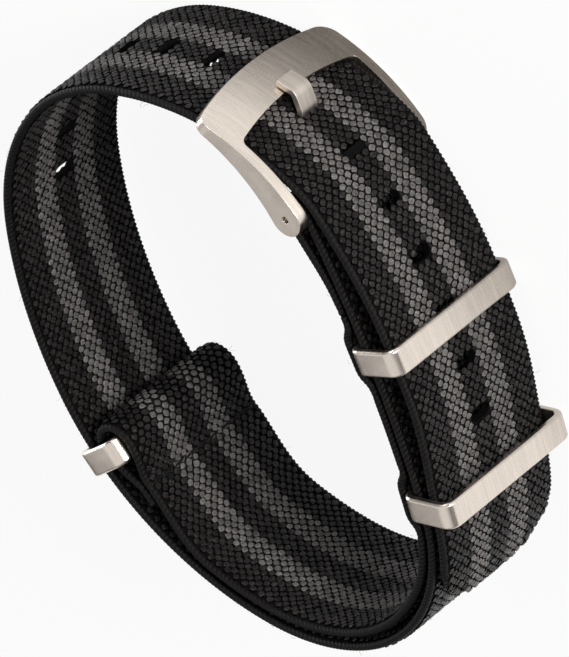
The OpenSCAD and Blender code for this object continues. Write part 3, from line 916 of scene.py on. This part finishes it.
def knob_yarn(name, deep, pale, crease_shade):
    """Thick elastic nylon yarn seen end on: each knob has its own tone, a crease darkened by painted shade,
    a painted highlight on its rim and painted shade at its foot.
    """
    shades = Shades(name)
    place = shades.coordinates["Object"]
    reach = shades.attribute("local")
    fibres = shades.noise(place, 5600.0, 3.0, 0.7)
    swirl = shades.noise(place, 3200.0, 1.5, 0.5)
    cloud = shades.noise(place, 260.0, 2.0)
    from_crease = shades.absolute(shades.minus(swirl, 0.5))
    crease = shades.ramp(from_crease, (0.0, 0.0), (0.02 + 0.06 * crease_shade, 1.0))
    # Painted highlight: a lighter ring round each knob's top. Painted shade: darkening towards its foot,
    # between the knobs.
    rim_highlight = shades.ramp(reach, (0.3, 0.0), (0.66, 1.0), (0.76, 1.0), (0.86, 0.0))
    foot_shade = shades.ramp(reach, (0.8, 0.0), (0.93, 1.0))
    # The colour: the knob's own tone and cloudiness, a fibre pattern that is partly the yarn's own fibres
    # and partly painted glints, and the painted rim highlight.
    level = shades.total((shades.attribute("tone"), 0.22), (cloud, 0.15), (fibres, 0.55), (rim_highlight, 0.12))
    colour = shades.mix(shades.ramp(level, (0.32, 0.0), (0.72, 1.0)), deep, pale)
    # Painted shade in the creases, stronger on the black yarn.
    shadow = tuple(c * 0.3 for c in deep)
    colour = shades.mix(shades.times(shades.minus(1.0, crease), crease_shade), colour, shadow)
    colour = shades.mix(foot_shade, colour, (0.002, 0.002, 0.002))
    shades.bump(shades.total((crease, 0.5), (swirl, 1.2), (fibres, 0.5)), 1.0, 0.0003)
    gloss = shades.times(shades.minus(1.0, foot_shade), 0.4)
    return shades.set(Base_Color=colour, Roughness=0.3, Specular_IOR_Level=gloss)


def ground_yarn():
    """The woven ground that shows between the knobs, painted far darker than its yarn as the shade between
    them.
    """
    shades = Shades("ground_yarn")
    uv = shades.coordinates["UV"]
    away = shades.absolute(shades.parts(uv)[1])
    ribs = shades.waves(uv, 1.33, 1.5)
    grain = shades.noise(uv, 6.0, 4.0, 0.7)
    # Both stripes are painted near black: painted shade between the knobs.
    black = shades.mix(grain, (0.002, 0.0018, 0.0018), (0.009, 0.0085, 0.0085))
    grey = shades.mix(grain, (0.01, 0.0098, 0.0098), (0.035, 0.034, 0.034))
    colour = shades.mix(shades.between(away, STRIPE_IN, STRIPE_OUT), black, grey)
    shades.bump(shades.plus(ribs, grain), 0.5, 0.0001)
    return shades.set(Base_Color=colour, Roughness=0.85, Specular_IOR_Level=0.05)


def selvedge_yarn():
    """Smooth black yarn wrapped round the edges, with slanting ribs."""
    shades = Shades("selvedge_yarn")
    slanted = shades.mapped(shades.coordinates["UV"], Rotation=(0.0, 0.0, math.radians(28)))
    ribs = shades.waves(slanted, 0.56, 1.6, detail=3.0)
    fibres = shades.noise(slanted, 9.0, 3.0, 0.6)
    # The colour follows the ribs, darker in their grooves as painted shade, with the yarn's own fibre tone.
    level = shades.total((ribs, 0.6), (fibres, 0.4))
    colour = shades.mix(level, (0.0018, 0.0014, 0.0014), (0.012, 0.0104, 0.0102))
    shades.bump(level, 0.8, 0.00016)
    return shades.set(Base_Color=colour, Roughness=0.5, Specular_IOR_Level=0.15)


def sewing_thread():
    """Black polyester thread with a slight gloss and a twist."""
    shades = Shades("sewing_thread")
    twist = shades.waves(shades.coordinates["Object"], 900.0, 2.0, "DIAGONAL")
    # Darker in the twist's grooves: painted shade.
    colour = shades.mix(twist, (0.004, 0.004, 0.004), (0.016, 0.0155, 0.016))
    shades.bump(twist, 0.5, 0.00005)
    return shades.set(Base_Color=colour, Roughness=0.5, Specular_IOR_Level=0.15)


def brushed_steel(name, heading, tint=(0.84, 0.75, 0.665), rough=(0.2, 0.36), edge=0.22):
    """Stainless steel with fine brush lines along a heading, and soft polished edges."""
    shades = Shades(name)
    place = shades.coordinates["Object"]
    along = shades.mapped(place, Rotation=(0.0, 0.0, -math.radians(heading)))
    lines = shades.noise(shades.mapped(along, Scale=(230.0, 230.0, 6500.0)), 1.0, 4.0, 0.75)
    bands = shades.noise(shades.mapped(along, Scale=(120.0, 120.0, 1800.0)), 1.0, 2.0, 0.5)
    grains = shades.noise(place, 5200.0, 2.0, 0.6)
    brush = shades.total((lines, 0.6), (bands, 0.35), (grains, 0.05))
    light = tuple(min(1.0, c * 1.08) for c in tint)
    dark = tuple(c * 0.86 for c in tint)
    colour = shades.mix(shades.ramp(brush, (0.34, 0.0), (0.64, 1.0)), dark, light)

    # Faces that look along the strap's width are blasted, not brushed
    sideways = shades.absolute(shades.parts(shades.coordinates["Normal"])[2])
    blasted = shades.ramp(sideways, (0.8, 0.0), (0.95, 1.0))
    speckle = shades.noise(place, 3600.0, 2.0, 0.7)
    relief = shades.plus(brush, shades.times(blasted, shades.minus(speckle, brush)))
    soft_edges = shades.out("ShaderNodeBevel", {"Radius": edge * MM}, samples=6)
    bump = shades.out("ShaderNodeBump", {
        "Height": relief, "Strength": 0.2, "Distance": 0.00002, "Normal": soft_edges})
    roughness = shades.remap(brush, 0.3, 0.7, *rough)
    return shades.set(Base_Color=colour, Metallic=1.0, Roughness=roughness, Normal=bump)


# The strap's pieces

def give(thing, material):
    """Gives a piece its only material."""
    thing.data.materials.clear()
    thing.data.materials.append(material)
    return thing


def finish_piece(thing, body="strap"):
    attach(thing, body)


black_yarn = knob_yarn("black_yarn", (0.0024, 0.0017, 0.0017), (0.055, 0.0463, 0.045), 0.9)
grey_yarn = knob_yarn("grey_yarn", (0.11, 0.1015, 0.0985), (0.345, 0.323, 0.314), 0.5)
ground = ground_yarn()
edge_yarn = selvedge_yarn()
thread = sewing_thread()
knobs = knob_nodes()
fibres = fibre_nodes()
stitching = stitch_nodes()

band_ground = give(woven_ground("band_ground", band, band_seams), ground)
cut(band_ground, hole_cutters())
flap_ground = give(woven_ground("flap_ground", flap, flap_seams), ground)
webbing = [band_ground, flap_ground]
knob_seed = 7
PARTS = (("band", band, band_seams), ("flap", flap, flap_seams))
for part, route, seams in PARTS:
    for side, face, slant in (("outer", 1.0, 0.0), ("inner", -1.0, 0.3)):
        for shade, striped, yarn in (("black", 0.0, black_yarn), ("grey", 1.0, grey_yarn)):
            piece = route_object(f"{part}_knobs_{side}_{shade}", route, seams)
            webbing.append(grow(piece, knobs, {
                "Face": face, "Striped": striped, "Yarn": yarn, "Seed": knob_seed, "Slant": slant}))
            knob_seed += 1
for part, route, count in (("band", band, 500), ("flap", flap, 200)):
    piece = route_object(f"{part}_stray_fibres", route, [])
    webbing.append(grow(piece, fibres, {"Count": count, "Fibre": thread, "Seed": 11 + count}))
for part, route, seams in PARTS:
    webbing.append(give(edge_cords(f"{part}_selvedges", route, seams), edge_yarn))
for piece in webbing:
    finish_piece(piece)
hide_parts("main_band")
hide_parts("keeper_flap")

STITCH_STAND = 0.3
for row, places in STITCH_ROWS.items():
    sewn = []
    for s in places:
        upper = 0 if row < 5 else flap_back_height(s)
        lower = -LAYER if row < 5 else flap_height(s)
        for height, sign in ((upper + STITCH_STAND, 1), (lower - STITCH_STAND, -1)):
            x, y, heading = loop_at(s, height)
            sewn.append(((x, y), (-sign * math.sin(heading), sign * math.cos(heading))))
    piece = needle_lines(f"stitches_{row}", sewn)
    grow(piece, stitching, {"Thread": thread, "Seed": row})
    finish_piece(piece)
    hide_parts(f"stitch_row_{row}")
knot = needle_lines("stitch_knot", [sewn[0]], 0.55)
grow(knot, stitching, {"Thread": thread, "Seed": 21, "Stitch Pitch": 0.12 * MM,
                       "Stitch Length": 0.5 * MM, "Stitch Rise": 0.32 * MM, "Slant": 0.9})
finish_piece(knot)


# The steel

def rounded_copy(node, width, bore=None, steps=3):
    """A copy of a metal CAD node with rounded edges; the edges round a bore stay sharp."""
    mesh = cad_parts[node].data.copy()
    mesh.name = f"{node}_tumbled"
    thing = add_object(mesh.name, mesh)
    body = bmesh.new()
    body.from_mesh(mesh)
    bmesh.ops.remove_doubles(body, verts=body.verts, dist=0.000002)
    bmesh.ops.dissolve_limit(body, angle_limit=math.radians(1.5), verts=body.verts, edges=body.edges)
    weight = body.edges.layers.float.new("bevel_weight_edge")
    for edge in body.edges:
        middle = (edge.verts[0].co + edge.verts[1].co) / (2 * MM)
        at_bore = bore is not None and math.hypot(middle.x - bore[0], middle.y - bore[1]) < 0.8
        sharp = len(edge.link_faces) == 2 and edge.calc_face_angle() > math.radians(40)
        edge[weight] = 1.0 if sharp and not at_bore else 0.0
    body.to_mesh(mesh)
    body.free()
    mesh.shade_smooth()
    mesh.set_sharp_from_angle(angle=math.radians(38))
    modifier = thing.modifiers.new("tumbling", "BEVEL")
    modifier.width = width * MM
    modifier.segments = steps
    modifier.limit_method = "WEIGHT"
    modifier.use_clamp_overlap = True
    modifier.harden_normals = True
    return apply_modifiers(thing)


KEEPER_BODIES = ("keeper_by_buckle", "keeper_middle", "keeper_on_flap")
for number, (s, body) in enumerate(zip(KEEPER_S, KEEPER_BODIES), 1):
    piece = rounded_copy(f"keeper_{number}", 0.14)
    give(piece, brushed_steel(f"keeper_{number}_steel", math.degrees(loop_at(s)[2])))
    finish_piece(piece, body)
    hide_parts(f"keeper_{number}")
piece = rounded_copy("buckle_frame", 0.3, BAR)
give(piece, brushed_steel("buckle_steel", 0.0, edge=0.1))
finish_piece(piece, "buckle")
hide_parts("buckle_frame")
piece = rounded_copy("buckle_tongue", 0.07, steps=2)
# The tongue's steel has a painted lighter tint than the rest, which is painted light, and is rougher.
give(piece, brushed_steel("tongue_steel_finish", 0.0, (0.92, 0.83, 0.74), (0.3, 0.46), 0.06))
finish_piece(piece, "tongue")
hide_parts("buckle_tongue")
# The spring bar's tube has a darker steel tint. Its end pins, seen only deep in the lug holes, are painted
# dark as shade.
for node in ("spring_bar_tube", "spring_bar_spring"):
    give(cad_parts[node], brushed_steel(f"{node}_finish", 90.0, (0.62, 0.57, 0.52), (0.2, 0.32), 0.05))
for node in ("end_pin_upper", "end_pin_lower"):
    give(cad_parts[node], brushed_steel(f"{node}_finish", 90.0, (0.3, 0.26, 0.22), (0.3, 0.45), 0.05))

# The table: pale paper, white to the camera, and glowing to the metal as painted light, dimmer near the
# strap as painted shade
floor = new_object("floor", [(-3, -3, 0), (3, -3, 0), (3, 3, 0), (-3, 3, 0)], [(0, 1, 2, 3)], False)
paper = Shades("white_paper")
paper.set(Base_Color=(0.86, 0.86, 0.86, 1), Roughness=0.9, Specular_IOR_Level=0.1)
seen = paper.add("ShaderNodeLightPath").outputs
from_strap = paper.add("ShaderNodeVectorMath", {0: paper.coordinates["Object"], 1: (0.02, -0.01, 0.0)},
                       operation="DISTANCE").outputs["Value"]
# Painted shade: the glow that the metal sees is dimmer near the strap.
bright = paper.remap(from_strap, 0.024, 0.06, 0.1, 1.1)
strength = paper.total((seen["Is Camera Ray"], 1.06), (seen["Is Glossy Ray"], bright))
glow = paper.out("ShaderNodeEmission", {"Color": (1, 1, 1, 1), "Strength": strength})
camera_share = paper.times(seen["Is Camera Ray"], 0.86)
glossy_share = paper.times(seen["Is Glossy Ray"], 0.8)
glow_share = paper.calc("MAXIMUM", camera_share, glossy_share)
surface = paper.out("ShaderNodeMixShader", {0: glow_share, 1: paper.shader.outputs[0], 2: glow})
paper.join(surface, paper.tree.nodes["Material Output"].inputs[0])
give(floor, paper.material)

# The world: plain light, white to the camera, a room with a bright ceiling to the metal
world = bpy.data.worlds.new("studio")
bpy.context.scene.world = world
world.use_nodes = True
sky = Graph(world.node_tree)
plain = sky.tree.nodes["Background"]
plain.inputs["Color"].default_value = (1.0, 0.99, 0.98, 1)
plain.inputs["Strength"].default_value = 0.16
path = sky.add("ShaderNodeLightPath").outputs
height = sky.parts(sky.add("ShaderNodeTexCoord").outputs["Object"])[2]
room = sky.out("ShaderNodeBackground", {"Strength": sky.remap(height, 0.45, 0.8, 0.2, 1.0)})
white = sky.out("ShaderNodeBackground", {"Color": (1, 1, 1, 1)})
mirrored = sky.calc("MAXIMUM", path["Is Glossy Ray"], path["Is Transmission Ray"])
light = sky.out("ShaderNodeMixShader", {0: mirrored, 1: plain.outputs[0], 2: room})
seen_sky = sky.out("ShaderNodeMixShader", {0: path["Is Camera Ray"], 1: light, 2: white})
sky.join(seen_sky, sky.tree.nodes["World Output"].inputs[0])

# The camera and the lamps, in metres
LOOK_AT = Vector((-0.00013, -0.0152, 0.02077))
CAMERA_AT = Vector((-0.00013, -0.8555, 0.59397))
CAMERA_UP = Vector((0.7847, -0.3493, -0.5121))


def aim(thing, place, up=Vector((0, 0, 1))):
    """Puts a lamp or camera at a place, looking at the strap."""
    back = (place - LOOK_AT).normalized()
    right = up.cross(back).normalized()
    above = back.cross(right)
    thing.matrix_world = Matrix((
        (right.x, above.x, back.x, place.x),
        (right.y, above.y, back.y, place.y),
        (right.z, above.z, back.z, place.z),
        (0, 0, 0, 1),
    ))


def soft_lamp(name, place, size, power, colour=(1, 1, 1)):
    """A soft square lamp, turned to the strap."""
    data = bpy.data.lights.new(name, "AREA")
    data.size = size
    data.energy = power
    data.color = colour
    aim(add_object(name, data), Vector(place))


camera_data = bpy.data.cameras.new("camera")
camera_data.lens = 486.5
camera_data.sensor_width = 36
camera_data.clip_end = 20
camera = add_object("camera", camera_data)
aim(camera, CAMERA_AT, CAMERA_UP)
bpy.context.scene.camera = camera
soft_lamp("key", (-0.24, -0.88, 0.27), 0.3, 7.2, (1.0, 0.985, 0.965))
soft_lamp("side", (0.75, -0.5, 0.22), 0.3, 1.6)
soft_lamp("back", (0.35, 0.75, 0.5), 0.6, 0.4)
soft_lamp("low_back", (0.66, 0.56, 0.12), 0.35, 2.3)

bpy.context.scene.view_settings.view_transform = "Standard"
